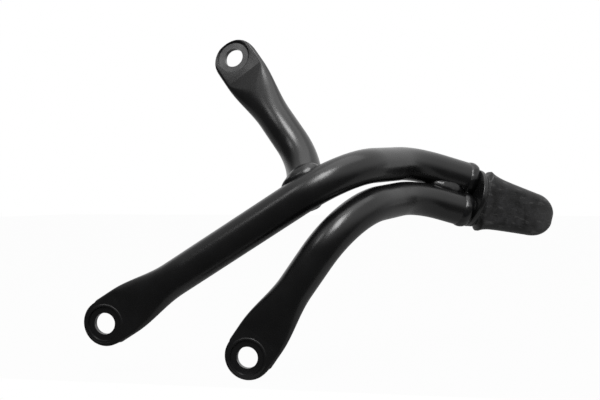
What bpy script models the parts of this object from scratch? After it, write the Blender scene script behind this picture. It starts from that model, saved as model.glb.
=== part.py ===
"""Passenger footrest bracket for a motorbike, a welded frame of three bent steel tubes.

Each tube is pressed flat at one end into a bolt eye. The main tube and the lower tube meet
side by side at a round end plate, the upper tube branches off the back of the main tube,
and a flat steel blade on the end plate carries the rubber footrest.

Units are metres. X runs from the main bolt eye towards the footrest, Z is up, and Y runs
along the bolts of the two lower eyes. The origin is the centre of the main bolt eye.
"""
import math
from collections import namedtuple

import bmesh
import bpy
from mathutils import Matrix, Vector

# Tube stock
TUBE_DIAMETER = 0.022
TUBE_WALL = 0.002
TUBE_SIDES = 24
BORE_SIDES = 16
MAIN_BEND_RADIUS = 0.050
LOWER_BEND_RADIUS = 0.050
UPPER_BEND_RADIUS = 0.025
BEND_STEP = math.radians(5.0)

# Pressed bolt eyes
EYE_THICKNESS = 0.0045
LOWER_EYE_WIDTH = 0.031
UPPER_EYE_WIDTH = 0.0296
EYE_END_RADIUS = 0.0143
EYE_SHOULDER = 0.0025
LOWER_EYE_SHIFT = 0.0007
UPPER_EYE_SHIFT = 0.0026
CREASE_DISTANCE = 0.015
THICKNESS_RAMP = 0.052
WIDTH_RAMP = 0.038
RAMP_RINGS = 12
RAMP_SWELL = 1.2
SLIT_START = 0.020
SLIT_THICKNESS = 0.0012
LOWER_BOLT_HOLE = 0.0138
UPPER_BOLT_HOLE = 0.0124
SEAT_DIAMETER = 0.0206
SEAT_DEPTH = 0.0009

# Bolt eye centres, and the corners where the tubes' straight runs would meet
MAIN_EYE = Vector((0.0, 0.0, 0.0))
MAIN_CORNER = Vector((0.1518, 0.0, 0.0970))
LOWER_EYE = Vector((0.0921, 0.0, -0.0183))
LOWER_CORNER = Vector((0.1543, 0.0, 0.0717))
UPPER_EYE = Vector((0.0711, 0.0464, 0.1717))
BRANCH_DISTANCE = 0.1502
BRANCH_STUB = Vector((-0.0044, 0.0255, 0.0197))

# Footrest end
JUNCTION = Vector((0.2249, 0.0916, 0.0804))
PEG_YAW = math.radians(25.0)
PEG_DIP = math.radians(15.2)
TUBE_GAP = 0.0006
TUBE_PAIR_TURN = math.radians(15.0)
MAIN_TAIL = 0.0444
LOWER_TAIL = 0.0397
SWAGE_LENGTH = 0.006
SWAGE_REDUCTION = 0.0012
SWAGE_RINGS = 4
END_PLATE_DIAMETER = 0.0396
END_PLATE_THICKNESS = 0.003
END_PLATE_EDGE = 0.0006

# Steel blade inside the rubber
BLADE_WIDTH = 0.022
BLADE_THICKNESS = 0.006
BLADE_LENGTH = 0.044

# Rubber sleeve
NECK_LENGTH = 0.0069
NECK_WIDTH = 0.0388
NECK_THICKNESS = 0.0160
LIP_WIDTH = 0.0411
LIP_THICKNESS = 0.0170
LIP_RISE = 0.0010
SLEEVE_LENGTH = 0.0588
SLEEVE_BODY_WIDTH = 0.0370
SLEEVE_FLARE = 0.006
SLEEVE_TIP_WIDTH = 0.0290
SLEEVE_TIP_THICKNESS = 0.0140
SLEEVE_TIP_ROUND = 0.0135
SLEEVE_SQUARENESS = 2.7
SLEEVE_SIDES = 28
TREAD_GROOVES = 5
TREAD_WIDTH = 0.0024
TREAD_DEPTH = 0.0018
TREAD_PITCH = 0.0072
TREAD_START = 0.0150

# Welds
BRANCH_BEAD = 0.0026
END_BEAD = 0.0019
BLADE_BEAD = 0.0015
BEAD_POINTS = 32
BRANCH_FILL_LENGTH = 0.0200
BRANCH_FILL_HEIGHT = 0.0130
BRANCH_FILL_DEPTH = 0.0140
BRANCH_FILL_SHARE = 0.56
BRANCH_FILL_FRONT = 0.43 * TUBE_DIAMETER
CROTCH_LENGTH = 0.026
CROTCH_WIDTH = 0.79 * TUBE_DIAMETER
CROTCH_DEPTH = 1.04 * TUBE_DIAMETER
CROTCH_BACK = 0.0160

# Clearance between pieces that touch
GAP = 0.0003

# How far a cutter runs past the face that it cuts
OVERRUN = 0.002

PAINT_COLOUR = (0.012, 0.012, 0.013)
STEEL_COLOUR = (0.05, 0.05, 0.05)
RUBBER_COLOUR = (0.022, 0.022, 0.022)

Tube = namedtuple("Tube", "name line bend normal eye_width shift hole swaged")


def peg_axes():
    """The footrest's own axes: out along it, up across it, and square to its broad face."""
    flat = Vector((math.cos(PEG_YAW), math.sin(PEG_YAW), 0.0))
    up = Vector((0.0, 0.0, 1.0))
    axis = flat * math.cos(PEG_DIP) - up * math.sin(PEG_DIP)
    side = flat * math.sin(PEG_DIP) + up * math.cos(PEG_DIP)
    return axis, side, axis.cross(side).normalized()


PEG_AXIS, PEG_SIDE, PEG_FACE = peg_axes()


def clear_scene():
    for item in list(bpy.data.objects):
        bpy.data.objects.remove(item, do_unlink=True)


def new_collection(name):
    group = bpy.data.collections.new(name)
    bpy.context.scene.collection.children.link(group)
    return group


def add_material(item, colour, roughness, metallic=0.0, coat=0.0):
    finish = bpy.data.materials.new(item.name + "_finish")
    finish.use_nodes = True
    shader = finish.node_tree.nodes["Principled BSDF"]
    shader.inputs["Base Color"].default_value = (*colour, 1.0)
    shader.inputs["Roughness"].default_value = roughness
    shader.inputs["Metallic"].default_value = metallic
    shader.inputs["Coat Weight"].default_value = coat
    item.data.materials.append(finish)


def paint(item):
    add_material(item, PAINT_COLOUR, 0.18, coat=0.5)


def add_object(name, mesh, group):
    item = bpy.data.objects.new(name, mesh)
    group.objects.link(item)
    return item


def add_cutter(name, mesh, group):
    item = add_object(name, mesh, group)
    item.hide_render = True
    item.display_type = "WIRE"
    return item


def mesh_from(builder, name):
    """Make a mesh of a closed bmesh, with its faces pointing out."""
    bmesh.ops.recalc_face_normals(builder, faces=builder.faces)
    mesh = bpy.data.meshes.new(name)
    builder.to_mesh(mesh)
    builder.free()
    return mesh


def mesh_from_curve(curve, place):
    """Make a closed mesh of a curve, its caps welded on, where the curve would lie."""
    item = add_object(curve.name, curve, bpy.context.scene.collection)
    item.matrix_world = place
    bpy.context.view_layer.update()
    evaluated = item.evaluated_get(bpy.context.evaluated_depsgraph_get())
    mesh = bpy.data.meshes.new_from_object(evaluated)
    bpy.data.objects.remove(item, do_unlink=True)
    mesh.transform(place)
    builder = bmesh.new()
    builder.from_mesh(mesh)
    bmesh.ops.remove_doubles(builder, verts=builder.verts, dist=0.00001)
    return mesh_from(builder, curve.name)


def frame(origin, x_axis, y_axis, z_axis):
    turn = Matrix((x_axis, y_axis, z_axis)).transposed().to_4x4()
    return Matrix.Translation(origin) @ turn


def boolean(item, cutter, operation="DIFFERENCE"):
    cut = item.modifiers.new(cutter.name, "BOOLEAN")
    cut.object = cutter
    cut.operation = operation
    cut.solver = "EXACT"


def eased(share):
    """A share of 0 to 1 that starts and ends gently."""
    held = min(1.0, max(0.0, share))
    return held * held * (3 - 2 * held)


def closed_spline(curve, points):
    spline = curve.splines.new("POLY")
    spline.points.add(len(points) - 1)
    for target, point in zip(spline.points, points):
        target.co = (*point, 1.0)
    spline.use_cyclic_u = True


def flat_shape(name, outline, thickness, place):
    """A flat outline given a thickness, half to each side of its own plane."""
    curve = bpy.data.curves.new(name, "CURVE")
    curve.dimensions = "2D"
    curve.fill_mode = "BOTH"
    curve.extrude = thickness / 2
    closed_spline(curve, [(x, y, 0.0) for x, y in outline])
    return mesh_from_curve(curve, place)


def bead_shape(name, loop, radius):
    """A round weld bead along a closed loop of points."""
    curve = bpy.data.curves.new(name, "CURVE")
    curve.dimensions = "3D"
    curve.bevel_depth = radius
    curve.bevel_resolution = 2
    closed_spline(curve, loop)
    return mesh_from_curve(curve, Matrix.Identity(4))


def arc_points(centre, radius, first, last, steps):
    """Points along a flat arc, between two angles."""
    points = []
    for step in range(steps + 1):
        angle = first + (last - first) * step / steps
        points.append((centre + radius * math.cos(angle), radius * math.sin(angle)))
    return points


def bent_line(corners, radius):
    """Stations on straight runs joined by arcs: (distance, point, direction)."""
    stations = [(0.0, corners[0], (corners[1] - corners[0]).normalized())]
    place = corners[0]
    travelled = 0.0
    for before, corner, after in zip(corners, corners[1:], corners[2:]):
        inward = (corner - before).normalized()
        outward = (after - corner).normalized()
        turn = inward.angle(outward)
        start = corner - inward * radius * math.tan(turn / 2)
        to_centre = (outward - inward * math.cos(turn)).normalized()
        centre = start + to_centre * radius
        travelled += (start - place).length
        steps = math.ceil(turn / BEND_STEP)
        for step in range(steps + 1):
            angle = turn * step / steps
            point = centre + radius * (inward * math.sin(angle) - to_centre * math.cos(angle))
            direction = inward * math.cos(angle) + to_centre * math.sin(angle)
            stations.append((travelled + radius * angle, point, direction))
        place = point
        travelled += radius * turn
    travelled += (corners[-1] - place).length
    stations.append((travelled, corners[-1], direction))
    return stations


def station_at(stations, distance):
    """A point and direction on a bent line, also before its start or past its end."""
    for first, second in zip(stations, stations[1:]):
        if distance <= second[0]:
            break
    span = second[0] - first[0]
    share = (distance - first[0]) / span
    point = first[1].lerp(second[1], share)
    turn = first[2].angle(second[2])
    if turn < 1e-6:
        return point, first[2]
    rise = span / turn * (math.cos(turn * (share - 0.5)) - math.cos(turn / 2))
    point += (first[2] - second[2]).normalized() * rise
    return point, first[2].lerp(second[2], share).normalized()


def nearest_on_line(stations, point):
    """The point of a bent line that is nearest to a given point."""
    spots = []
    for first, second in zip(stations, stations[1:]):
        chord = second[1] - first[1]
        share = (point - first[1]).dot(chord) / chord.length_squared
        spots.append(first[1] + chord * min(1.0, max(0.0, share)))
    return min(spots, key=lambda spot: (point - spot).length)


def plan_tubes():
    """The three tubes, each from its bolt eye to its welded end."""
    pair = PEG_SIDE * math.cos(TUBE_PAIR_TURN) - PEG_FACE * math.sin(TUBE_PAIR_TURN)
    step = pair * ((TUBE_DIAMETER + TUBE_GAP) / 2)
    main_end = JUNCTION + step
    lower_end = JUNCTION - step
    main_line = [MAIN_EYE, MAIN_CORNER, main_end - PEG_AXIS * MAIN_TAIL, main_end]
    lower_line = [LOWER_EYE, LOWER_CORNER, lower_end - PEG_AXIS * LOWER_TAIL, lower_end]

    branch = station_at(bent_line(main_line, MAIN_BEND_RADIUS), BRANCH_DISTANCE)[0]
    upper_line = [UPPER_EYE, branch + BRANCH_STUB, branch]
    along = (upper_line[1] - upper_line[0]).normalized()
    seat_side = Vector((0.0, -1.0, 0.0))
    square = (seat_side - along * seat_side.dot(along)).normalized()

    main = Tube("main_tube", main_line, MAIN_BEND_RADIUS, seat_side,
                LOWER_EYE_WIDTH, LOWER_EYE_SHIFT, LOWER_BOLT_HOLE, True)
    lower = Tube("lower_tube", lower_line, LOWER_BEND_RADIUS, seat_side,
                 LOWER_EYE_WIDTH, LOWER_EYE_SHIFT, LOWER_BOLT_HOLE, True)
    upper = Tube("upper_tube", upper_line, UPPER_BEND_RADIUS, square,
                 UPPER_EYE_WIDTH, UPPER_EYE_SHIFT, UPPER_BOLT_HOLE, False)
    return main, lower, upper


def pressed_size(tube, distance, end):
    """Half the width and half the thickness of a tube at a distance from its bolt hole.

    The thickness stays flat to the crease and then opens to round. The width narrows over
    about the same length. A swaged tube is drawn in again just before its welded end.
    """
    radius = TUBE_DIAMETER / 2
    run = distance - CREASE_DISTANCE
    opened = math.sin(math.pi / 2 * min(1.0, max(0.0, run / THICKNESS_RAMP))) ** RAMP_SWELL
    thickness = EYE_THICKNESS / 2 + (radius - EYE_THICKNESS / 2) * opened
    flat = tube.eye_width / 2
    width = flat + (radius - flat) * eased(run / WIDTH_RAMP)
    if tube.swaged:
        drawn = SWAGE_REDUCTION * eased(1 - (end - distance) / SWAGE_LENGTH)
        thickness -= drawn
        width -= drawn
    return width, thickness


def slot_ring(width, thickness, sides):
    """Points evenly spaced round a slot shape: two flats joined by half circles."""
    flat = max(0.0, width - thickness)
    arc = math.pi * thickness
    half = 2 * flat + arc
    points = []
    for side in range(sides):
        along = 2 * half * side / sides
        sign = 1.0
        if along >= half:
            along -= half
            sign = -1.0
        if along <= flat:
            point = (along, thickness)
        elif along <= flat + arc:
            angle = (along - flat) / thickness
            point = (flat + thickness * math.sin(angle), thickness * math.cos(angle))
        else:
            point = (half - along, -thickness)
        points.append((point[0] * sign, point[1] * sign))
    return points


def loft(name, rings):
    """Skin rings that have equal numbers of points, and close both ends."""
    builder = bmesh.new()
    rows = [[builder.verts.new(point) for point in ring] for ring in rings]
    count = len(rows[0])
    for first, second in zip(rows, rows[1:]):
        for index in range(count):
            after = (index + 1) % count
            builder.faces.new((first[index], first[after], second[after], second[index]))
    builder.faces.new(rows[0])
    builder.faces.new(rows[-1])
    return mesh_from(builder, name)


def ring_distances(tube, stations, start, end):
    """Where a tube gets its rings: at the crease, up the ramp, round the bends, at the swage."""
    ramp_end = CREASE_DISTANCE + THICKNESS_RAMP
    marks = [start, end, CREASE_DISTANCE]
    marks += [CREASE_DISTANCE + THICKNESS_RAMP * ring / RAMP_RINGS for ring in range(1, RAMP_RINGS + 1)]
    marks += [distance for distance, _, _ in stations[1:-1] if distance > ramp_end]
    if tube.swaged:
        marks += [stations[-1][0] - SWAGE_LENGTH * ring / SWAGE_RINGS for ring in range(1, SWAGE_RINGS + 1)]
    kept = []
    for mark in sorted(marks):
        if start <= mark <= end and (not kept or mark - kept[-1] > OVERRUN / 2 or mark == end):
            kept.append(mark)
    return kept


def tube_mesh(name, tube, growth, sides, start, past_end):
    """A pressed and bent tube, its surface moved out by growth."""
    stations = bent_line(tube.line, tube.bend)
    full = stations[-1][0]
    heading = stations[0][2]
    normal = tube.normal.copy()
    rings = []
    for distance in ring_distances(tube, stations, start, full + past_end):
        centre, direction = station_at(stations, distance)
        normal = heading.rotation_difference(direction) @ normal
        normal = (normal - direction * normal.dot(direction)).normalized()
        heading = direction
        across = direction.cross(normal)
        width, thickness = pressed_size(tube, distance, full)
        thickness = max(SLIT_THICKNESS / 2, thickness + growth)
        width = max(thickness, width + growth)
        ring = slot_ring(width, thickness, sides)
        rings.append([centre + across * x + normal * y for x, y in ring])
    return loft(name, rings)


def turned(name, profile, place, group):
    """A cutter turned about Z from a profile that runs down its outer side."""
    mesh = bpy.data.meshes.new(name)
    points = [(radius, 0.0, height) for radius, height in profile]
    mesh.from_pydata(points, [(index, index + 1) for index in range(len(points) - 1)], [])
    cutter = add_cutter(name, mesh, group)
    cutter.matrix_world = place
    screw = cutter.modifiers.new("turn", "SCREW")
    screw.steps = 36
    screw.render_steps = screw.steps
    screw.use_merge_vertices = True
    screw.merge_threshold = 0.00001
    return cutter


def eye_frame(tube):
    """The frame of a bolt eye: X along the tube, Z out of the seat."""
    along = (tube.line[1] - tube.line[0]).normalized()
    return frame(tube.line[0], along, tube.normal.cross(along), tube.normal)


def end_trim(tube):
    """A flat cutter with a hollow round, which leaves the eye's end a half circle."""
    reach = EYE_END_RADIUS + tube.eye_width
    shoulder = tube.shift + EYE_SHOULDER
    side = tube.eye_width / 2 + GAP
    outline = arc_points(tube.shift, EYE_END_RADIUS, math.pi / 2, 3 * math.pi / 2, 18)
    outline += [(shoulder, -side), (shoulder, -reach), (-reach, -reach),
                (-reach, reach), (shoulder, reach), (shoulder, side)]
    return flat_shape(tube.name + "_end_trim", outline, TUBE_DIAMETER, eye_frame(tube))


def stepped_drill(tube):
    """The profile of the bolt hole and of the round seat sunk round it, with a sloping wall."""
    floor = EYE_THICKNESS / 2 - SEAT_DEPTH
    hole = tube.hole / 2
    seat = SEAT_DIAMETER / 2
    wide = seat + 2 * SEAT_DEPTH
    rim = floor + 2 * SEAT_DEPTH
    reach = TUBE_DIAMETER
    return [(0.0, reach), (wide, reach), (wide, rim), (seat, floor), (hole, floor),
            (hole, -reach), (0.0, -reach)]


def pressed_tube(tube, parts, cutters):
    """A hollow tube with a pressed eye, its bolt hole and its round seat."""
    start = -(EYE_END_RADIUS + OVERRUN)
    past_end = -GAP if tube.swaged else 0.0
    item = add_object(tube.name, tube_mesh(tube.name, tube, 0.0, TUBE_SIDES, start, past_end), parts)
    paint(item)
    bore_name = tube.name + "_bore"
    bore = tube_mesh(bore_name, tube, -TUBE_WALL, BORE_SIDES, SLIT_START, OVERRUN)
    boolean(item, add_cutter(bore_name, bore, cutters))
    boolean(item, add_cutter(tube.name + "_end_trim", end_trim(tube), cutters))
    boolean(item, turned(tube.name + "_drill", stepped_drill(tube), eye_frame(tube), cutters))
    return item


def clearance(tube, cutters):
    """A tube's outside grown by the gap, which cuts whatever is welded to it."""
    name = tube.name + "_clearance"
    return add_cutter(name, tube_mesh(name, tube, GAP, TUBE_SIDES, CREASE_DISTANCE, OVERRUN), cutters)


def branch_loop(main, upper):
    """The closed line along which the upper tube's side meets the main tube."""
    stations = bent_line(main.line, main.bend)
    radius = TUBE_DIAMETER / 2
    branch = upper.line[2]
    back = (upper.line[1] - branch).normalized()
    side = back.orthogonal().normalized()
    other = back.cross(side)
    loop = []
    for index in range(BEAD_POINTS):
        angle = 2 * math.pi * index / BEAD_POINTS
        foot = branch + (side * math.cos(angle) + other * math.sin(angle)) * radius
        inside = 0.0
        outside = 2 * TUBE_DIAMETER
        for _ in range(20):
            middle = (inside + outside) / 2
            point = foot + back * middle
            if (point - nearest_on_line(stations, point)).length < radius:
                inside = middle
            else:
                outside = middle
        loop.append(foot + back * outside)
    return loop


def relaxed(loop, rounds):
    """A loop with its kinks eased, each point drawn towards its two neighbours."""
    for _ in range(rounds):
        count = len(loop)
        loop = [loop[index] / 2 + (loop[index - 1] + loop[(index + 1) % count]) / 4
                for index in range(count)]
    return loop


def blob(name, size, place):
    """A lump of filler, drawn as an ellipsoid."""
    builder = bmesh.new()
    bmesh.ops.create_uvsphere(builder, u_segments=20, v_segments=12, radius=0.5)
    bmesh.ops.transform(builder, matrix=place @ Matrix.Diagonal((*size, 1.0)), verts=builder.verts)
    return mesh_from(builder, name)


def branch_weld(main, upper, parts, cutters):
    """A bead all round the upper tube's joint, with its upper valley filled to a mound."""
    loop = relaxed(branch_loop(main, upper), 4)
    weld = add_object("branch_weld", bead_shape("branch_weld", loop, BRANCH_BEAD), parts)
    paint(weld)
    along = (main.line[1] - main.line[0]).normalized()
    front = main.normal
    centre = upper.line[2] + BRANCH_STUB * BRANCH_FILL_SHARE + front * BRANCH_FILL_FRONT
    size = (BRANCH_FILL_LENGTH, BRANCH_FILL_DEPTH, BRANCH_FILL_HEIGHT)
    mound = blob("branch_fill", size, frame(centre, along, front, along.cross(front)))
    boolean(weld, add_cutter("branch_fill", mound, cutters), "UNION")
    return weld


def end_loop(tube):
    """A ring round a swaged tube end, on the corner that it makes with the end plate."""
    radius = TUBE_DIAMETER / 2 - SWAGE_REDUCTION + END_BEAD / 2
    centre = tube.line[-1] - PEG_AXIS * (END_BEAD / 2)
    loop = []
    for index in range(BEAD_POINTS):
        angle = 2 * math.pi * index / BEAD_POINTS
        loop.append(centre + (PEG_SIDE * math.cos(angle) + PEG_FACE * math.sin(angle)) * radius)
    return loop


def end_weld(main, lower, parts, cutters):
    """The beads that join both tube ends to the end plate, run together between the tubes."""
    weld = add_object("end_weld", bead_shape("end_weld", end_loop(main), END_BEAD), parts)
    paint(weld)
    second = bead_shape("end_weld_lower", end_loop(lower), END_BEAD)
    boolean(weld, add_cutter("end_weld_lower", second, cutters), "UNION")
    return weld


def crotch_weld(parts):
    """The lump of filler between the two tubes, just before the end plate."""
    place = frame(JUNCTION - PEG_AXIS * CROTCH_BACK, PEG_AXIS, PEG_SIDE, PEG_FACE)
    size = (CROTCH_LENGTH, CROTCH_WIDTH, CROTCH_DEPTH)
    weld = add_object("crotch_weld", blob("crotch_weld", size, place), parts)
    paint(weld)
    return weld


def cylinder(name, diameter, length, place, group):
    builder = bmesh.new()
    bmesh.ops.create_cone(builder, cap_ends=True, segments=40, radius1=diameter / 2,
                          radius2=diameter / 2, depth=length)
    item = add_object(name, mesh_from(builder, name), group)
    item.matrix_world = place
    return item


def plate_frame(distance):
    """A frame on the footrest's axis, Z along it, at a distance past the tube ends."""
    return frame(JUNCTION + PEG_AXIS * distance, PEG_SIDE, PEG_FACE, PEG_AXIS)


def end_plate(parts):
    """The round plate that closes both tubes and carries the blade."""
    place = plate_frame(END_PLATE_THICKNESS / 2)
    plate = cylinder("end_plate", END_PLATE_DIAMETER, END_PLATE_THICKNESS, place, parts)
    paint(plate)
    edge = plate.modifiers.new("rounded_edge", "BEVEL")
    edge.width = END_PLATE_EDGE
    edge.segments = 2
    edge.limit_method = "ANGLE"
    return plate


def plate_clearance(cutters):
    """The end plate's block of space, wider than the plate, for cutting the welds to it."""
    length = END_PLATE_THICKNESS + 2 * GAP
    place = plate_frame(END_PLATE_THICKNESS / 2)
    cutter = cylinder("plate_clearance", 2 * END_PLATE_DIAMETER, length, place, cutters)
    cutter.hide_render = True
    cutter.display_type = "WIRE"
    return cutter


def blade_bar(name, growth, root, length):
    """A flat bar with a round end, grown by a clearance all round."""
    half = BLADE_WIDTH / 2 + growth
    outline = [(0.0, -half)] + arc_points(length - half, half, -math.pi / 2, math.pi / 2, 12)
    outline.append((0.0, half))
    place = frame(JUNCTION + PEG_AXIS * root, PEG_AXIS, PEG_SIDE, PEG_FACE)
    return flat_shape(name, outline, BLADE_THICKNESS + 2 * growth, place)


def peg_blade(parts):
    """The flat steel bar that stands on the end plate inside the rubber."""
    root = END_PLATE_THICKNESS + GAP
    blade = add_object("peg_blade", blade_bar("peg_blade", 0.0, root, BLADE_LENGTH), parts)
    add_material(blade, STEEL_COLOUR, 0.5, metallic=1.0)
    return blade


def blade_ring(growth, distance):
    """A slot-shaped ring round the blade's section, at a distance past the tube ends."""
    centre = JUNCTION + PEG_AXIS * distance
    ring = slot_ring(BLADE_WIDTH / 2 + growth, BLADE_THICKNESS / 2 + growth, BEAD_POINTS)
    return [centre + PEG_SIDE * x + PEG_FACE * y for x, y in ring]


def blade_weld(parts, cutters):
    """The bead round the blade's root, on the end plate."""
    loop = blade_ring(BLADE_BEAD / 2, END_PLATE_THICKNESS + BLADE_BEAD / 2)
    weld = add_object("blade_weld", bead_shape("blade_weld", loop, BLADE_BEAD), parts)
    paint(weld)
    blade_space = blade_bar("blade_space", GAP, 0.0, BLADE_LENGTH)
    boolean(weld, add_cutter("blade_space", blade_space, cutters))
    return weld


def sleeve_stations():
    """Down the rubber: (distance from its root, half width, half thickness)."""
    body_start = NECK_LENGTH + LIP_RISE
    tip_start = SLEEVE_LENGTH - SLEEVE_TIP_ROUND
    stations = [(0.0, NECK_WIDTH / 2, NECK_THICKNESS / 2),
                (NECK_LENGTH - LIP_RISE, NECK_WIDTH / 2, NECK_THICKNESS / 2),
                (NECK_LENGTH, LIP_WIDTH / 2, LIP_THICKNESS / 2)]
    steps = 8
    for step in range(steps + 1):
        share = (step / steps) ** 1.4
        distance = body_start + (tip_start - body_start) * share
        flare = (LIP_WIDTH - SLEEVE_BODY_WIDTH) * math.exp((body_start - distance) / SLEEVE_FLARE)
        width = SLEEVE_BODY_WIDTH + (SLEEVE_TIP_WIDTH - SLEEVE_BODY_WIDTH) * share + flare
        thickness = LIP_THICKNESS + (SLEEVE_TIP_THICKNESS - LIP_THICKNESS) * share
        stations.append((distance, width / 2, thickness / 2))
    tip_steps = 6
    for step in range(1, tip_steps + 1):
        angle = math.radians(84.0) * step / tip_steps
        stations.append((tip_start + SLEEVE_TIP_ROUND * math.sin(angle),
                         SLEEVE_TIP_WIDTH / 2 * math.cos(angle),
                         SLEEVE_TIP_THICKNESS / 2 * math.cos(angle) ** 0.6))
    return stations


def sleeve_ring(half_wide, half_thick):
    """A rounded rectangle, drawn as a superellipse."""
    power = 2 / SLEEVE_SQUARENESS
    ring = []
    for side in range(SLEEVE_SIDES):
        angle = 2 * math.pi * (side + 0.5) / SLEEVE_SIDES
        across = math.copysign(abs(math.cos(angle)) ** power, math.cos(angle))
        through = math.copysign(abs(math.sin(angle)) ** power, math.sin(angle))
        ring.append((half_wide * across, half_thick * through))
    return ring


def tread_groove(index, root):
    """A square groove across the tread, which is the face away from the bolt seats."""
    distance = TREAD_START + TREAD_PITCH * index
    share = distance / SLEEVE_LENGTH
    thickness = LIP_THICKNESS + (SLEEVE_TIP_THICKNESS - LIP_THICKNESS) * share
    centre = JUNCTION + PEG_AXIS * (root + distance) - PEG_FACE * (thickness / 2)
    builder = bmesh.new()
    bmesh.ops.create_cube(builder, size=1.0)
    size = Matrix.Diagonal((TREAD_WIDTH, 2 * LIP_WIDTH, 2 * TREAD_DEPTH, 1.0))
    place = frame(centre, PEG_AXIS, PEG_SIDE, PEG_FACE)
    bmesh.ops.transform(builder, matrix=place @ size, verts=builder.verts)
    return mesh_from(builder, f"tread_groove_{index + 1}")


def rubber_sleeve(parts, cutters):
    """The moulded rubber that is pulled over the blade, with a tread on its far face."""
    root = END_PLATE_THICKNESS + GAP
    rings = []
    for distance, wide, thick in sleeve_stations():
        centre = JUNCTION + PEG_AXIS * (root + distance)
        rings.append([centre + PEG_SIDE * x + PEG_FACE * y for x, y in sleeve_ring(wide, thick)])
    sleeve = add_object("rubber_sleeve", loft("rubber_sleeve", rings), parts)
    add_material(sleeve, RUBBER_COLOUR, 0.62)
    pocket = blade_bar("blade_pocket", GAP, root - OVERRUN, BLADE_LENGTH + OVERRUN + GAP)
    boolean(sleeve, add_cutter("blade_pocket", pocket, cutters))
    bead_reach = 1.5 * BLADE_BEAD + GAP
    relief_rings = [blade_ring(bead_reach, root - OVERRUN), blade_ring(bead_reach, root + bead_reach)]
    boolean(sleeve, add_cutter("weld_relief", loft("weld_relief", relief_rings), cutters))
    for index in range(TREAD_GROOVES):
        groove = tread_groove(index, root)
        boolean(sleeve, add_cutter(groove.name, groove, cutters))
    return sleeve


def build():
    clear_scene()
    parts = new_collection("footrest_bracket")
    cutters = new_collection("cutters")
    main, lower, upper = plan_tubes()

    pressed_tube(main, parts, cutters)
    pressed_tube(lower, parts, cutters)
    upper_item = pressed_tube(upper, parts, cutters)
    end_plate(parts)
    peg_blade(parts)
    rubber_sleeve(parts, cutters)

    main_space = clearance(main, cutters)
    lower_space = clearance(lower, cutters)
    upper_space = clearance(upper, cutters)
    plate_space = plate_clearance(cutters)
    boolean(upper_item, main_space)

    branch = branch_weld(main, upper, parts, cutters)
    boolean(branch, upper_space)
    boolean(branch, main_space)
    ends = end_weld(main, lower, parts, cutters)
    crotch = crotch_weld(parts)
    for weld in (ends, crotch):
        boolean(weld, main_space)
        boolean(weld, lower_space)
        boolean(weld, plate_space)
    boolean(blade_weld(parts, cutters), plate_space)

    for item in parts.objects:
        item.data.shade_smooth()
        item.data.set_sharp_from_angle(angle=math.radians(35.0))


build()
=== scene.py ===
# %% [markdown]
# A passenger footrest bracket for a motorbike, dressed for its photograph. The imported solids
# give the place and size of every piece, so they are loaded first and never moved. This file
# then makes a finely modelled piece for each part that the camera sees, and gives the rest a
# finish of its own. Units are metres, X runs from the main bolt eye to the footrest, Z is up.

# %% Load the solids
import math

import bmesh
import bpy
from mathutils import Matrix, Vector


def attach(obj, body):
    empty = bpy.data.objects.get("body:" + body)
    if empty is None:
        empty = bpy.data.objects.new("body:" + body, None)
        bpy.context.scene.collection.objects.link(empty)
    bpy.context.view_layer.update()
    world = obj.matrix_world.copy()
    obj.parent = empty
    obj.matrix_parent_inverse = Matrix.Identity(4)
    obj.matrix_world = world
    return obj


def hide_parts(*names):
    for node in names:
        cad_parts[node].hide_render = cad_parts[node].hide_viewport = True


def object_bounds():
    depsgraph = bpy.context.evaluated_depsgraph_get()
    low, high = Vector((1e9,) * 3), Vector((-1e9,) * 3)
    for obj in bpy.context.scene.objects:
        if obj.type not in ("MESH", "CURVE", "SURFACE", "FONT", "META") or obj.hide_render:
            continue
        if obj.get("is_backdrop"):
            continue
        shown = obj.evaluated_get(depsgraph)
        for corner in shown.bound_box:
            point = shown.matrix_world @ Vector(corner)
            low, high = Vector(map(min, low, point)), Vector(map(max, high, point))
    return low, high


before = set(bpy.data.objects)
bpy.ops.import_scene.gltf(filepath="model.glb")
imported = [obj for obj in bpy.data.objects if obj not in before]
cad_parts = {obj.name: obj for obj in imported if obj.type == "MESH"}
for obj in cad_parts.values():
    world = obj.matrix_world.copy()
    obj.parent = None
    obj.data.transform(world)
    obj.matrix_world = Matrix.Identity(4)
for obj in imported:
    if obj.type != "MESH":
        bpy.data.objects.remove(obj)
solid_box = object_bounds()
print("solids", sorted(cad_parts))
print("box", [round(value, 4) for corner in solid_box for value in corner])

# %% [markdown]
# The camera comes first, because each piece is judged from where the photographer stood. They
# stood level with the bracket, a little to its right, about half a metre away. A longer lens
# from further off would make all three eyes the same size, and in the photo the nearest one is
# larger, so the distance matters as much as the angle.

# %% Camera
CAMERA_TURN = math.radians(11.0)
CAMERA_PLACE = Vector((0.228008, -0.532273, 0.077542))
LENS_MM = 54.0

camera_data = bpy.data.cameras.new("photo_camera")
camera_data.lens = LENS_MM
camera_data.sensor_width = 36.0
camera = bpy.data.objects.new("photo_camera", camera_data)
bpy.context.scene.collection.objects.link(camera)
camera.location = CAMERA_PLACE
camera.rotation_euler = (math.radians(90.0), 0.0, CAMERA_TURN)
bpy.context.scene.camera = camera
print("camera", [round(value, 3) for value in camera.location])

# %% [markdown]
# Every piece below is shaped with the same few moves: start clean with nothing selected, pick
# points by where they lie, and apply a modifier once it has done its work. These helpers hold
# only those moves, so that the cells that follow read like the steps at a workbench. New round
# shapes stand along Z, so two quarter turns are named: one lays them along the tube, and one
# turns their top towards the viewer.

# %% Small helpers for selecting and finishing
ROUND_SIDES = 96
BEAD_SIDES = 24
ALONG_X = Matrix.Rotation(math.pi / 2, 4, "Y")
TOP_TO_VIEWER = Matrix.Rotation(math.pi / 2, 4, "X")


def deselect():
    bpy.ops.object.select_all(action="DESELECT")


def take(item):
    """Make one object the only selected and active one."""
    deselect()
    item.select_set(True)
    bpy.context.view_layer.objects.active = item


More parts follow.
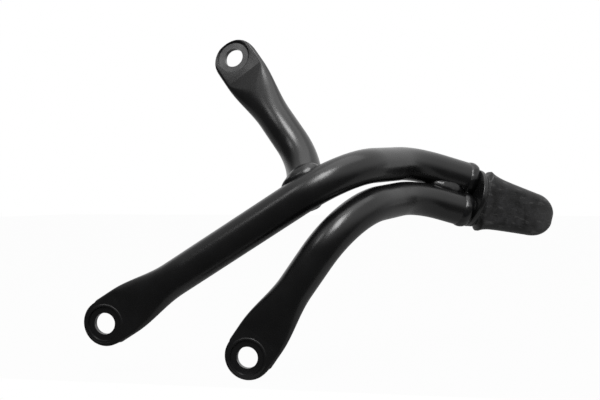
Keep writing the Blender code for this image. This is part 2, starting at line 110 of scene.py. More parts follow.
def pick(item, wanted):
    """In edit mode, select the points that a test on their place accepts."""
    bpy.ops.mesh.select_all(action="DESELECT")
    bpy.ops.mesh.select_mode(type="VERT")
    mesh = bmesh.from_edit_mesh(item.data)
    for point in mesh.verts:
        point.select = wanted(point.co)
    mesh.select_flush(True)
    bmesh.update_edit_mesh(item.data)


def apply_modifier(item, kind, **settings):
    """Add a modifier, set it and apply it at once."""
    take(item)
    step = item.modifiers.new(kind.lower(), kind)
    for name, value in settings.items():
        setattr(step, name, value)
    bpy.ops.object.modifier_apply(modifier=step.name)


def cut(item, cutter, operation="DIFFERENCE"):
    """Cut or join with another object, which is used up."""
    apply_modifier(item, "BOOLEAN", object=cutter, operation=operation, solver="EXACT")
    bpy.data.objects.remove(cutter, do_unlink=True)


def settle(item, place=Matrix.Identity(4)):
    """Set an object down at a place and keep that place in its mesh."""
    item.matrix_world = place
    take(item)
    bpy.ops.object.transform_apply(location=True, rotation=True, scale=True)


def outward(item):
    """Point all faces of a closed mesh out."""
    take(item)
    bpy.ops.object.mode_set(mode="EDIT")
    bpy.ops.mesh.select_all(action="SELECT")
    bpy.ops.mesh.normals_make_consistent(inside=False)
    bpy.ops.object.mode_set(mode="OBJECT")


def report(item):
    sizes_mm = [round(size * 1000, 1) for size in item.dimensions]
    print(item.name, len(item.data.polygons), "faces", sizes_mm)


def box_mm(box):
    """The corners of a box in millimetres, for printing."""
    return [[round(value * 1000, 1) for value in corner] for corner in box]


# %% [markdown]
# The three tubes follow bent lines: straight runs joined by round bends, as a tube bender makes
# them. The corners are where the straight runs would meet. The main and lower tubes start in
# one flat plane at their bolt eyes, swing away behind it, and then run side by side to the
# footrest. The upper tube leaves the back of the main tube and climbs to its own eye. Each bend
# is drawn with a point every 1.5 degrees.

# %% Bent lines of the tubes
TUBE_RADIUS = 0.011
PEG_YAW = math.radians(25.0)
PEG_DIP = math.radians(15.2)
JUNCTION = Vector((0.2249, 0.0916, 0.0804))
PAIR_TURN = math.radians(15.0)
TUBE_GAP = 0.0006
LEAD_IN = 0.02
MAIN_TAIL = 0.0444
LOWER_TAIL = 0.0397
LOWER_BENDS = 0.050
UPPER_BEND = 0.048
ARC_STEP = 1.5

peg_flat = Vector((math.cos(PEG_YAW), math.sin(PEG_YAW), 0.0))
straight_up = Vector((0.0, 0.0, 1.0))
PEG_AXIS = peg_flat * math.cos(PEG_DIP) - straight_up * math.sin(PEG_DIP)
PEG_SIDE = peg_flat * math.sin(PEG_DIP) + straight_up * math.cos(PEG_DIP)
PEG_FACE = PEG_AXIS.cross(PEG_SIDE).normalized()
pair_step = PEG_SIDE * math.cos(PAIR_TURN) - PEG_FACE * math.sin(PAIR_TURN)
pair_step *= TUBE_RADIUS + TUBE_GAP / 2
MAIN_END = JUNCTION + pair_step
LOWER_END = JUNCTION - pair_step


def bend_line(corners, radius):
    """Points along straight runs joined by arcs of one radius."""
    points = [corners[0]]
    for before, corner, after in zip(corners, corners[1:], corners[2:]):
        inward = (corner - before).normalized()
        outward_run = (after - corner).normalized()
        turn = inward.angle(outward_run)
        start = corner - inward * radius * math.tan(turn / 2)
        to_centre = (outward_run - inward * math.cos(turn)).normalized()
        steps = math.ceil(math.degrees(turn) / ARC_STEP)
        for step in range(steps + 1):
            angle = turn * step / steps
            along = inward * radius * math.sin(angle)
            points.append(start + along + to_centre * radius * (1 - math.cos(angle)))
    points.append(corners[-1])
    return points


def line_length(points):
    return sum((second - first).length for first, second in zip(points, points[1:]))


MAIN_LINE = bend_line([Vector((0.0, 0.0, 0.0)), Vector((0.1518, 0.0, 0.0970)),
                       MAIN_END - PEG_AXIS * MAIN_TAIL, MAIN_END], LOWER_BENDS)
LOWER_LINE = bend_line([Vector((0.0921, 0.0, -0.0183)), Vector((0.1543, 0.0, 0.0717)),
                        LOWER_END - PEG_AXIS * LOWER_TAIL, LOWER_END], LOWER_BENDS)
UPPER_FOOT = Vector((0.12585, 0.00400, 0.08089))
UPPER_LINE = bend_line([Vector((0.0711, 0.0464, 0.1717)), Vector((0.12330, 0.02561, 0.10120)),
                        UPPER_FOOT], UPPER_BEND)
MAIN_LENGTH = line_length(MAIN_LINE)
LOWER_LENGTH = line_length(LOWER_LINE)
UPPER_LENGTH = line_length(UPPER_LINE)
for name, length in (("main", MAIN_LENGTH), ("lower", LOWER_LENGTH), ("upper", UPPER_LENGTH)):
    print(name, "tube is", round(length * 1000, 1), "mm long")

# %% [markdown]
# Each tube begins life as a straight length of round steel, and a press flattens its end into the
# eye. The flat part ends at a crease, where the die ended. From there the thickness opens in a
# ramp, and the width narrows along with it, until the tube is round again. Two functions give
# these half sizes at any distance behind the bolt hole.

# %% Shape of the pressed end
EYE_HALF_THICKNESS = 0.00225
CREASE = 0.015
THICKNESS_RAMP = 0.052
WIDTH_RAMP = 0.038
LOWER_EYES_HALF_WIDTH = 0.0155
UPPER_EYE_HALF_WIDTH = 0.0148


def eased(share):
    held = min(1.0, max(0.0, share))
    return held * held * (3 - 2 * held)


def pressed_half_sizes(distance, eye_half_width):
    """Half the width and half the thickness at a distance behind the bolt hole."""
    run = distance - CREASE
    opened = math.sin(math.pi / 2 * min(1.0, max(0.0, run / THICKNESS_RAMP)))
    thickness = EYE_HALF_THICKNESS + (TUBE_RADIUS - EYE_HALF_THICKNESS) * opened
    width = eye_half_width + (TUBE_RADIUS - eye_half_width) * eased(run / WIDTH_RAMP)
    return width, thickness


for distance in (CREASE, CREASE + WIDTH_RAMP, CREASE + THICKNESS_RAMP):
    half_sizes = pressed_half_sizes(distance, LOWER_EYES_HALF_WIDTH)
    print("half width and thickness in mm", [round(size * 1000, 1) for size in half_sizes])

# %% [markdown]
# Pressing is done ring by ring, as the press does it: the ring is scaled down to the pressed
# thickness, and then its two halves are pulled apart, which leaves two flat walls joined by round
# folds. The flat walls fade out soon behind the crease, where the die let go of the tube and its
# section is already a soft oval. The far end of a tube can be drawn in a little in the same way.

# %% Press and draw in one ring
FLAT_RAMP = 0.019
SAME_RING = 0.00005
ROUND_ENOUGH = 0.00001


def press_ring(tube, place, eye_half_width):
    width, thickness = pressed_half_sizes(place, eye_half_width)
    if thickness > TUBE_RADIUS - ROUND_ENOUGH and width < TUBE_RADIUS + ROUND_ENOUGH:
        return
    ring_x = place + LEAD_IN
    flat = max(0.0, width - thickness) * (1 - eased((place - CREASE) / FLAT_RAMP))
    shrink = (1.0, thickness / TUBE_RADIUS, (width - flat) / TUBE_RADIUS)
    pick(tube, lambda co: abs(co.x - ring_x) < SAME_RING)
    bpy.ops.transform.resize(value=shrink, center_override=(ring_x, 0.0, 0.0))
    for side in (1.0, -1.0):
        pick(tube, lambda co: abs(co.x - ring_x) < SAME_RING and co.z * side > 0.0)
        bpy.ops.transform.translate(value=(0.0, 0.0, side * flat))


def draw_in_ring(tube, place, shrink):
    ring_x = place + LEAD_IN
    pick(tube, lambda co: abs(co.x - ring_x) < SAME_RING)
    bpy.ops.transform.resize(value=(1.0, shrink, shrink), center_override=(ring_x, 0.0, 0.0))


# %% [markdown]
# Now the three tubes are made. A ring is drawn and extruded along X, one step at a time, so that
# there are enough rings to press and to bend. The two lower tubes are drawn in at their far ends,
# where they go under the weld.

# %% Straight tubes with pressed ends
TUBE_START = -0.017
RING_SIDES = 64
RING_STEP = 0.0026
SWAGE_LENGTH = 0.006
SWAGE_REDUCTION = 0.0012


def straight_tube(name, length, eye_half_width, swaged):
    """A solid bar along X with a pressed start, its bolt hole's centre LEAD_IN from the origin."""
    places = [TUBE_START, CREASE]
    while places[-1] < length:
        places.append(min(length, places[-1] + RING_STEP))
    deselect()
    bpy.ops.mesh.primitive_circle_add(vertices=RING_SIDES, radius=TUBE_RADIUS, fill_type="NGON")
    tube = bpy.context.object
    tube.name = name
    half_step = Matrix.Rotation(math.pi / RING_SIDES, 4, "X")
    start = Matrix.Translation((places[0] + LEAD_IN, 0.0, 0.0))
    settle(tube, start @ half_step @ ALONG_X)
    bpy.ops.object.mode_set(mode="EDIT")
    bpy.ops.mesh.select_all(action="SELECT")
    for before, after in zip(places, places[1:]):
        move = {"value": (after - before, 0.0, 0.0)}
        bpy.ops.mesh.extrude_region_move(TRANSFORM_OT_translate=move)
    for place in places:
        press_ring(tube, place, eye_half_width)
        if swaged and place > length - SWAGE_LENGTH:
            drawn = SWAGE_REDUCTION * eased(1 - (length - place) / SWAGE_LENGTH)
            draw_in_ring(tube, place, 1 - drawn / TUBE_RADIUS)
    bpy.ops.object.mode_set(mode="OBJECT")
    outward(tube)
    return tube


main_tube = straight_tube("main_tube_painted", MAIN_LENGTH, LOWER_EYES_HALF_WIDTH, swaged=True)
lower_tube = straight_tube("lower_tube_painted", LOWER_LENGTH, LOWER_EYES_HALF_WIDTH, swaged=True)
upper_tube = straight_tube("upper_tube_painted", UPPER_LENGTH, UPPER_EYE_HALF_WIDTH, swaged=False)
for tube in (main_tube, lower_tube, upper_tube):
    report(tube)

# %% [markdown]
# The pressed end is then cropped to a half circle. The shape to keep starts as a disc, which is
# cut in half; its straight side is pulled out in two moves, first with a small flare for the
# shoulder and then straight along the tube. Made a tall block, it is intersected with the tube.
# All of the work on the eyes happens while the tube is still straight, as on a press.

# %% Crop the eyes
EYE_END_RADIUS = 0.0147
SHOULDER = 0.0025
SIDE_CLEARANCE = 0.0003
UPPER_CROP_HALF_WIDTH = 0.0146
LOWER_EYES_SHIFT = 0.0014
UPPER_EYE_SHIFT = 0.0034
BLOCK_HALF_DEPTH = 0.03
BLOCK_LENGTH = 0.5
NEAR = 0.0001


def crop_end(tube, shift, eye_half_width):
    """Leave a half circle at the end of an eye."""
    centre = LEAD_IN + shift
    deselect()
    bpy.ops.mesh.primitive_circle_add(vertices=ROUND_SIDES, radius=EYE_END_RADIUS,
                                      fill_type="NGON")
    keep = bpy.context.object
    settle(keep, Matrix.Translation((centre, BLOCK_HALF_DEPTH, 0.0)) @ TOP_TO_VIEWER)
    bpy.ops.object.mode_set(mode="EDIT")
    bpy.ops.mesh.select_all(action="SELECT")
    bpy.ops.mesh.bisect(plane_co=(centre, 0.0, 0.0), plane_no=(1.0, 0.0, 0.0), clear_outer=True)
    pick(keep, lambda co: co.x > centre - NEAR)
    bpy.ops.mesh.extrude_region_move(TRANSFORM_OT_translate={"value": (SHOULDER, 0.0, 0.0)})
    flare = (eye_half_width + SIDE_CLEARANCE) / EYE_END_RADIUS
    bpy.ops.transform.resize(value=(1.0, 1.0, flare), center_override=(centre, 0.0, 0.0))
    bpy.ops.mesh.extrude_region_move(TRANSFORM_OT_translate={"value": (BLOCK_LENGTH, 0.0, 0.0)})
    bpy.ops.mesh.select_all(action="SELECT")
    to_viewer = {"value": (0.0, -2 * BLOCK_HALF_DEPTH, 0.0)}
    bpy.ops.mesh.extrude_region_move(TRANSFORM_OT_translate=to_viewer)
    bpy.ops.object.mode_set(mode="OBJECT")
    outward(keep)
    cut(tube, keep, "INTERSECT")
    report(tube)


crop_end(main_tube, LOWER_EYES_SHIFT, LOWER_EYES_HALF_WIDTH)
crop_end(lower_tube, LOWER_EYES_SHIFT, LOWER_EYES_HALF_WIDTH)
crop_end(upper_tube, UPPER_EYE_SHIFT, UPPER_CROP_HALF_WIDTH)

# %% [markdown]
# A round seat is sunk round each bolt hole, and the hole is drilled through. The seat's cutter is
# a cone, so the seat has a sloping wall. Sinking the seats of the two lower eyes has pushed up a
# low lip round them. The upper eye has none, but its seat leans back a few degrees from its face,
# so it catches more light than the face does. Last, a Bevel modifier rounds every rim.

# %% Seat and drill the eyes
SEAT_RADIUS = 0.0103
SEAT_DEPTH = 0.0009
SEAT_FLOOR = SEAT_DEPTH - EYE_HALF_THICKNESS
SEAT_LEAN = math.radians(3.5)
SEAT_LEAN_AXIS = Vector((-0.62, 0.0, -0.78))
WALL_SLOPE = 0.4
UPPER_WALL_SLOPE = 1.0
LIP_RADIUS = 0.0112
LIP_BEAD = 0.0022
LIP_HEIGHT = 0.0003
MAIN_HOLE_RADIUS = 0.0067
LOWER_HOLE_RADIUS = 0.0066
UPPER_HOLE_RADIUS = 0.0064
DRILL_LENGTH = 0.02
THROUGH = 0.008
RIM_ROUND = 0.0005


def drill(tube, radius, floor, slope=0.0, tilt=0.0):
    """Sink a round cutter, or a cone, from the viewer's side of the eye down to a floor."""
    deselect()
    bpy.ops.mesh.primitive_cone_add(vertices=ROUND_SIDES, radius1=radius,
                                    radius2=radius + DRILL_LENGTH * slope, depth=DRILL_LENGTH)
    cutter = bpy.context.object
    lean = Matrix.Translation((LEAD_IN, floor, 0.0)) @ Matrix.Rotation(tilt, 4, SEAT_LEAN_AXIS)
    settle(cutter, lean @ Matrix.Translation((0.0, -DRILL_LENGTH / 2, 0.0)) @ TOP_TO_VIEWER)
    cut(tube, cutter)


def raise_lip(tube):
    """Add the low ring of metal that sinking the seat pushes up round it."""
    deselect()
    bpy.ops.mesh.primitive_torus_add(major_segments=ROUND_SIDES, minor_segments=BEAD_SIDES,
                                     major_radius=LIP_RADIUS, minor_radius=LIP_BEAD)
    lip = bpy.context.object
    sunk = LIP_BEAD - LIP_HEIGHT - EYE_HALF_THICKNESS
    settle(lip, Matrix.Translation((LEAD_IN, sunk, 0.0)) @ TOP_TO_VIEWER)
    cut(tube, lip, "UNION")


for tube, hole_radius in ((main_tube, MAIN_HOLE_RADIUS), (lower_tube, LOWER_HOLE_RADIUS)):
    raise_lip(tube)
    drill(tube, SEAT_RADIUS, SEAT_FLOOR, slope=WALL_SLOPE)
    drill(tube, hole_radius, THROUGH)
drill(upper_tube, SEAT_RADIUS, SEAT_FLOOR, slope=UPPER_WALL_SLOPE, tilt=SEAT_LEAN)
drill(upper_tube, UPPER_HOLE_RADIUS, THROUGH)
for tube in (main_tube, lower_tube, upper_tube):
    apply_modifier(tube, "BEVEL", width=RIM_ROUND, segments=3, limit_method="ANGLE",
                   angle_limit=math.radians(40.0))
    report(tube)

# %% [markdown]
# Now the tubes are bent. A Curve modifier lays a straight mesh along a line, with its X running
# down the line, which is just what a bending machine does to a straight tube. The line gets a
# short lead in before the bolt hole, so that the eye's round end has something to lie along.
# The upper eye is also turned about its own tube, because it faces a little to the side. Edges
# sharper than 9 degrees stay sharp in the shading, and so does the crease.

# %% Bend the tubes
CREASE_ANGLE = math.radians(9.0)
TO_VIEWER = Vector((0.0, -1.0, 0.0))


def bend_along(tube, line, seat_normal):
    """Lay a straight tube along a line, its seat facing as given."""
    heading = (line[1] - line[0]).normalized()
    across = straight_up.cross(heading).normalized()
    upright = heading.cross(across)
    roll = math.atan2(-seat_normal.dot(upright), -seat_normal.dot(across))
    settle(tube, Matrix.Rotation(roll, 4, "X"))
    guide_data = bpy.data.curves.new(tube.name + "_line", "CURVE")
    guide_data.dimensions = "3D"
    guide_data.twist_mode = "Z_UP"
    points = [line[0] - heading * LEAD_IN] + line
    points.append(line[-1] + (line[-1] - line[-2]).normalized() * LEAD_IN)
    spline = guide_data.splines.new("POLY")
    spline.points.add(len(points) - 1)
    for target, point in zip(spline.points, points):
        target.co = (*point, 1.0)
    guide = bpy.data.objects.new(guide_data.name, guide_data)
    bpy.context.scene.collection.objects.link(guide)
    apply_modifier(tube, "CURVE", object=guide, deform_axis="POS_X")
    bpy.data.objects.remove(guide, do_unlink=True)
    take(tube)
    bpy.ops.object.shade_smooth_by_angle(angle=CREASE_ANGLE)


upper_heading = (UPPER_LINE[1] - UPPER_LINE[0]).normalized()
upper_normal = (TO_VIEWER - upper_heading * TO_VIEWER.dot(upper_heading)).normalized()
bend_along(main_tube, MAIN_LINE, TO_VIEWER)
bend_along(lower_tube, LOWER_LINE, TO_VIEWER)
bend_along(upper_tube, UPPER_LINE, upper_normal)
for tube in (main_tube, lower_tube, upper_tube):
    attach(tube, "root")
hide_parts("main_tube")
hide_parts("lower_tube")
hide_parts("upper_tube")
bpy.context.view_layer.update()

# %% [markdown]
# The end plate is a turned steel disc that closes both tubes. A cylinder gives the disc, an inset
# and a small push leave the shallow step that a lathe tool makes on its face, and a Bevel
# modifier breaks the sharp rims, which then catch the light as thin curved lines.

# %% End plate
PLATE_RADIUS = 0.0197
PLATE_DROP = 0.0011
PLATE_THICKNESS = 0.003
PLATE_EDGE = 0.0007
STEP_WIDTH = 0.0012
STEP_DEPTH = 0.0003


def peg_place(distance):
    """A frame on the footrest's axis: X out along it, Y across it, Z out of its near face."""
    turn = Matrix((PEG_AXIS, PEG_SIDE, PEG_FACE)).transposed().to_4x4()
    return Matrix.Translation(JUNCTION + PEG_AXIS * distance) @ turn


def new_disc(name, radius, thickness):
    """A disc along X that starts at the origin."""
    deselect()
    bpy.ops.mesh.primitive_cylinder_add(vertices=ROUND_SIDES, radius=radius, depth=thickness)
    disc = bpy.context.object
    disc.name = name
    settle(disc, Matrix.Translation((thickness / 2, 0.0, 0.0)) @ ALONG_X)
    return disc


end_plate = new_disc("end_plate_painted", PLATE_RADIUS, PLATE_THICKNESS)
bpy.ops.object.mode_set(mode="EDIT")
pick(end_plate, lambda co: co.x > PLATE_THICKNESS - NEAR)
bpy.ops.mesh.inset(thickness=STEP_WIDTH)
bpy.ops.transform.translate(value=(-STEP_DEPTH, 0.0, 0.0))
bpy.ops.object.mode_set(mode="OBJECT")
apply_modifier(end_plate, "BEVEL", width=PLATE_EDGE, segments=4, limit_method="ANGLE",
               angle_limit=math.radians(50.0))
settle(end_plate, peg_place(0.0) @ Matrix.Translation((0.0, -PLATE_DROP, 0.0)))
bpy.ops.object.shade_smooth_by_angle(angle=math.radians(30.0))
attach(end_plate, "root")
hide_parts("end_plate")
report(end_plate)

# %% [markdown]
# The welds lie under the paint, so they look like one soft mass and not like separate beads. Each
# is put together from simple solids: a torus round a tube's end, a bead along the line where two
# tubes meet, and an egg where the welder filled a valley. A union joins them, a Remesh modifier
# with small voxels turns the whole into one skin, and a Smooth modifier then runs the forms
# together as melted metal does. A Displace modifier with a cloud texture leaves the slight
# unevenness of hand welding.

# %% Helpers for welds
VOXEL = 0.0005
weld_clouds = bpy.data.textures.new("weld_unevenness", "CLOUDS")
weld_clouds.noise_scale = 0.0045
weld_clouds.noise_depth = 1


def ring_bead(name, end, ring_radius, bead_radius, stretch):
    """A ring round the footrest's direction, stretched along it."""
    deselect()
    bpy.ops.mesh.primitive_torus_add(major_segments=ROUND_SIDES, minor_segments=BEAD_SIDES,
                                     major_radius=ring_radius, minor_radius=bead_radius)
    bead = bpy.context.object
    bead.name = name
    turn = Matrix((PEG_SIDE, PEG_FACE, PEG_AXIS)).transposed().to_4x4()
    settle(bead, Matrix.Translation(end) @ turn @ Matrix.Diagonal((1.0, 1.0, stretch, 1.0)))
    return bead


def egg(name, place, half_sizes):
    """A ball stretched to three half sizes."""
    deselect()
    bpy.ops.mesh.primitive_ico_sphere_add(subdivisions=5, radius=1.0)
    lump = bpy.context.object
    lump.name = name
    settle(lump, place @ Matrix.Diagonal((*half_sizes, 1.0)))
    return lump


def melt(weld, rounds, unevenness):
    """Run a weld's forms together into one soft skin."""
    apply_modifier(weld, "REMESH", mode="VOXEL", voxel_size=VOXEL)
    apply_modifier(weld, "SMOOTH", factor=0.5, iterations=rounds)
    apply_modifier(weld, "DISPLACE", texture=weld_clouds, strength=unevenness, mid_level=0.5,
                   texture_coords="LOCAL")
    take(weld)
    bpy.ops.object.shade_smooth()


def place_weld(weld, node):
    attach(weld, "root")
    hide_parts(node)
    report(weld)


# %% [markdown]
# At the footrest end, each tube gets a ring. The two rings touch between the tubes and become one
# weld in the shape of a figure of eight.

# %% End weld
END_BEAD = 0.0027
END_RING = TUBE_RADIUS - 0.0020
MAIN_RING_BACK = 0.0032
LOWER_RING_BACK = 0.0046

end_weld = ring_bead("end_weld_painted", MAIN_END - PEG_AXIS * MAIN_RING_BACK, END_RING, END_BEAD,
                     stretch=1.5)
lower_ring = ring_bead("lower_ring", LOWER_END - PEG_AXIS * LOWER_RING_BACK, END_RING, END_BEAD,
                       stretch=1.6)
cut(end_weld, lower_ring, "UNION")
melt(end_weld, rounds=8, unevenness=0.0006)
place_weld(end_weld, "end_weld")

# %% [markdown]
# Round the foot of the upper tube the bead follows the line where two tubes meet. It is found by
# sliding points up the upper tube's wall, from inside the main tube until they just come out of
# it. The step is halved each time, and the loop of points is softened at the end.

# %% Line where two tubes meet
LOOP_POINTS = 96
SEARCH_REACH = 0.05
SEARCH_ROUNDS = 18
SOFTEN_ROUNDS = 8


def gap_to_line(point, line):
    """How far a point is from the middle of a bent tube."""
    best = 1.0
    for first, second in zip(line, line[1:]):
        chord = second - first
        share = min(1.0, max(0.0, (point - first).dot(chord) / chord.length_squared))
        best = min(best, (point - first - chord * share).length)
    return best


def joint_loop(count):
    """Points round the line where the upper tube's wall meets the main tube's."""
    back = (UPPER_LINE[-2] - UPPER_FOOT).normalized()
    side = back.orthogonal().normalized()
    other = back.cross(side)
    loop = []
    for index in range(count):
        angle = 2 * math.pi * index / count
        foot = UPPER_FOOT + (side * math.cos(angle) + other * math.sin(angle)) * TUBE_RADIUS
        near, far = 0.0, SEARCH_REACH
        for _ in range(SEARCH_ROUNDS):
            middle = (near + far) / 2
            if gap_to_line(foot + back * middle, MAIN_LINE) < TUBE_RADIUS:
                near = middle
            else:
                far = middle
        loop.append(foot + back * far)
    for _ in range(SOFTEN_ROUNDS):
        loop = [loop[i] / 2 + (loop[i - 1] + loop[(i + 1) % count]) / 4 for i in range(count)]
    return loop


branch_loop = joint_loop(LOOP_POINTS)
print("joint is", round(line_length(branch_loop) * 1000, 1), "mm round")

# %% [markdown]
# A curve with a round bevel gives the bead, and an egg fills the valley on the viewer's side,
# where the photo shows a wide smooth mound.

# %% Branch weld
BRANCH_BEAD = 0.0029
MOUND_ALONG = 0.0050
MOUND_RISE = 0.0088
MOUND_BACK = 0.0005
MOUND_HALF = (0.0124, 0.0085, 0.0076)

branch_curve = bpy.data.curves.new("branch_weld_painted", "CURVE")
branch_curve.dimensions = "3D"
branch_curve.bevel_depth = BRANCH_BEAD
branch_curve.bevel_resolution = 8
branch_spline = branch_curve.splines.new("POLY")
branch_spline.points.add(len(branch_loop) - 1)
for target, point in zip(branch_spline.points, branch_loop):
    target.co = (*point, 1.0)
branch_spline.use_cyclic_u = True
branch_weld = bpy.data.objects.new("branch_weld_painted", branch_curve)
bpy.context.scene.collection.objects.link(branch_weld)
take(branch_weld)
bpy.ops.object.convert(target="MESH")

main_heading = (MAIN_LINE[1] - MAIN_LINE[0]).normalized()
rise = TO_VIEWER.cross(main_heading)
mound_centre = UPPER_FOOT + main_heading * MOUND_ALONG + rise * MOUND_RISE
mound_centre += Vector((0.0, MOUND_BACK, 0.0))
mound_turn = Matrix((main_heading, -TO_VIEWER, rise)).transposed().to_4x4()
mound = egg("mound", Matrix.Translation(mound_centre) @ mound_turn, MOUND_HALF)
cut(branch_weld, mound, "UNION")
melt(branch_weld, rounds=12, unevenness=0.0004)
place_weld(branch_weld, "branch_weld")

# %% [markdown]
# Between the two tube ends, the welder filled the crotch with a lump of filler, deeper than it is
# wide. It is an egg of its own, pushed about a little more than the beads.

# %% Filler lump between the tubes
LUMP_BACK = 0.0185
LUMP_SINK = 0.0035
LUMP_HALF = (0.0145, 0.0087, 0.0118)

lump_place = peg_place(-LUMP_BACK) @ Matrix.Translation((0.0, 0.0, -LUMP_SINK))
crotch_lump = egg("crotch_weld_lump", lump_place, LUMP_HALF)
melt(crotch_lump, rounds=6, unevenness=0.0009)
place_weld(crotch_lump, "crotch_weld")

# %% [markdown]
# The footrest is a moulded rubber sleeve over a steel blade. From the end plate out it has a short
# neck, a lip, a flare that dies away, a long taper and a round tip. Each stretch is written as
# sections, with a distance, a half width and a half thickness: the root by its few points, the
# flare and taper by a formula, and the tip by an arc.

# %% Sections of the sleeve
SLEEVE_LENGTH = 0.0594
NECK_LENGTH = 0.0058
LIP_RISE = 0.001
TIP_ROUND = 0.0160
TIP_ANGLE = math.radians(86.0)
TIP_WIDTH_POWER = 0.94
TIP_THICKNESS_POWER = 0.6
NECK_HALF = (0.0172, 0.0074)
LIP_HALF = (0.02055, 0.0085)
TIP_HALF = (0.0148, 0.0070)
BODY_HALF_WIDTH = 0.0183
BODY_STEPS = 26
FLARE_WIDTH = 0.0024
FLARE_FADE = 0.0045
TIP_STEPS = 14
ROOT_PROFILE = [(0.0, 0.0188, 0.0081), (0.0006, 0.0191, 0.0083), (0.0014, 0.0190, 0.0082),
                (0.0023, 0.0178, 0.0077), (0.0034, *NECK_HALF), (NECK_LENGTH - 0.0012, *NECK_HALF),
                (NECK_LENGTH - 0.0004, NECK_HALF[0] + 0.0011, NECK_HALF[1] + 0.0004),
                (NECK_LENGTH + 0.0004, LIP_HALF[0] - 0.0003, LIP_HALF[1] - 0.0002)]


def sleeve_sections():
    """Down the sleeve: distance, half width and half thickness."""
    body = NECK_LENGTH + LIP_RISE
    tip = SLEEVE_LENGTH - TIP_ROUND
    sections = list(ROOT_PROFILE)
    for step in range(BODY_STEPS + 1):
        share = step / BODY_STEPS
        distance = body + (tip - body) * share
        flare = FLARE_WIDTH * math.exp((body - distance) / FLARE_FADE)
        width = BODY_HALF_WIDTH + (TIP_HALF[0] - BODY_HALF_WIDTH) * share + flare
        sections.append((distance, width, LIP_HALF[1] + (TIP_HALF[1] - LIP_HALF[1]) * share))
    for step in range(1, TIP_STEPS + 1):
        angle = TIP_ANGLE * step / TIP_STEPS
        width = TIP_HALF[0] * math.cos(angle) ** TIP_WIDTH_POWER
        thickness = TIP_HALF[1] * math.cos(angle) ** TIP_THICKNESS_POWER
        sections.append((tip + TIP_ROUND * math.sin(angle), width, thickness))
    return sections


sections = sleeve_sections()
print(len(sections), "sections, the last", round(sections[-1][0] * 1000, 1), "mm out")

# %% [markdown]
# The section is a rounded rectangle, so a plane is sized to the root and its four corners are
# rounded. It is then extruded from section to section and scaled to each.

# %% Rubber sleeve
CORNER_ROUND = 0.0062

_, root_half_width, root_half_thickness = sections[0]
deselect()
bpy.ops.mesh.primitive_plane_add(size=2.0)
sleeve = bpy.context.object
sleeve.name = "rubber_sleeve_moulded"
settle(sleeve, ALONG_X @ Matrix.Diagonal((root_half_thickness, root_half_width, 1.0, 1.0)))
bpy.ops.object.mode_set(mode="EDIT")
bpy.ops.mesh.select_all(action="SELECT")
bpy.ops.mesh.bevel(offset=CORNER_ROUND, segments=10, affect="VERTICES")
bpy.ops.mesh.select_all(action="SELECT")
for before, after in zip(sections, sections[1:]):
    move = {"value": (after[0] - before[0], 0.0, 0.0)}
    bpy.ops.mesh.extrude_region_move(TRANSFORM_OT_translate=move)
    bpy.ops.transform.resize(value=(1.0, after[1] / before[1], after[2] / before[2]),
                             center_override=(after[0], 0.0, 0.0))
bpy.ops.object.mode_set(mode="OBJECT")
outward(sleeve)
report(sleeve)

# %% [markdown]
# The far face has cross grooves for grip, as such footrests do; the photo shows the smooth one.
# Each groove is cut by a small block of the same size, at an even pitch. The rubber sags a little
# on its blade, so its root is then set lower and the whole leans back to the tip.

# %% Tread grooves and edges
SLEEVE_ROOT = PLATE_THICKNESS + 0.0003
SLEEVE_DROP = 0.0012
GROOVES = 5
GROOVE_START = 0.0150
GROOVE_PITCH = 0.0072
GROOVE_BLOCK = Matrix.Diagonal((0.0024, 0.09, 0.0036, 1.0))
MOULD_EDGE = 0.0003

for index in range(GROOVES):
    distance = GROOVE_START + GROOVE_PITCH * index
    deselect()
    bpy.ops.mesh.primitive_cube_add(size=1.0)
    groove = bpy.context.object
    depth_here = LIP_HALF[1] + (TIP_HALF[1] - LIP_HALF[1]) * distance / SLEEVE_LENGTH
    settle(groove, Matrix.Translation((distance, 0.0, -depth_here)) @ GROOVE_BLOCK)
    cut(sleeve, groove)
apply_modifier(sleeve, "BEVEL", width=MOULD_EDGE, segments=2, limit_method="ANGLE",
               angle_limit=math.radians(35.0))
lean = Matrix.Rotation(math.atan2(SLEEVE_DROP, SLEEVE_LENGTH), 4, "Z")
settle(sleeve, peg_place(SLEEVE_ROOT) @ Matrix.Translation((0.0, -SLEEVE_DROP, 0.0)) @ lean)
bpy.ops.object.shade_smooth_by_angle(angle=math.radians(30.0))
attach(sleeve, "root")
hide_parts("rubber_sleeve")
report(sleeve)

# %% [markdown]
# Materials are built from nodes. Colours are picked as sRGB hex values, as on a screen, and one
# function turns them to the linear values that Blender works in. Another adds a node with its
# settings and links, so that each material below reads as a list. A noise is scaled by the real
# size of what it stands for, in millimetres.

# %% Material helpers
def linear(hex_colour):
    """An sRGB hex colour as linear red, green and blue, with full opacity."""
    channels = [int(hex_colour[start:start + 2], 16) / 255 for start in (1, 3, 5)]
    return (*(c / 12.92 if c <= 0.04045 else ((c + 0.055) / 1.055) ** 2.4 for c in channels), 1.0)


def add_node(tree, kind, settings=None, inputs=None):
    """Add a node, set its properties, and set or link its inputs by name or number."""
    node = tree.nodes.new(kind)
    for name, value in (settings or {}).items():
        setattr(node, name, value)
    for name, value in (inputs or {}).items():
        if isinstance(value, bpy.types.NodeSocket):
            tree.links.new(value, node.inputs[name])
        else:
            node.inputs[name].default_value = value
    return node


def blank_material(name):
    material = bpy.data.materials.new(name)
    material.use_nodes = True
    material.node_tree.nodes.clear()
    return material, material.node_tree


def per_millimetre(size_mm):
    """The noise scale whose features are about this many millimetres across."""
    return 1000.0 / size_mm


WHITE = linear("#ffffff")
print("white is", WHITE)

# %% [markdown]
# The frame is finished in gloss black enamel, sprayed and baked. It is nearly black, so what the
# eye sees is mostly reflection, a little softened and carried on the shallow waves of sprayed
# paint, called orange peel. The waves are about 2 mm across. Faint handling marks of about 14 mm
# make the tone and the gloss differ a little from place to place.

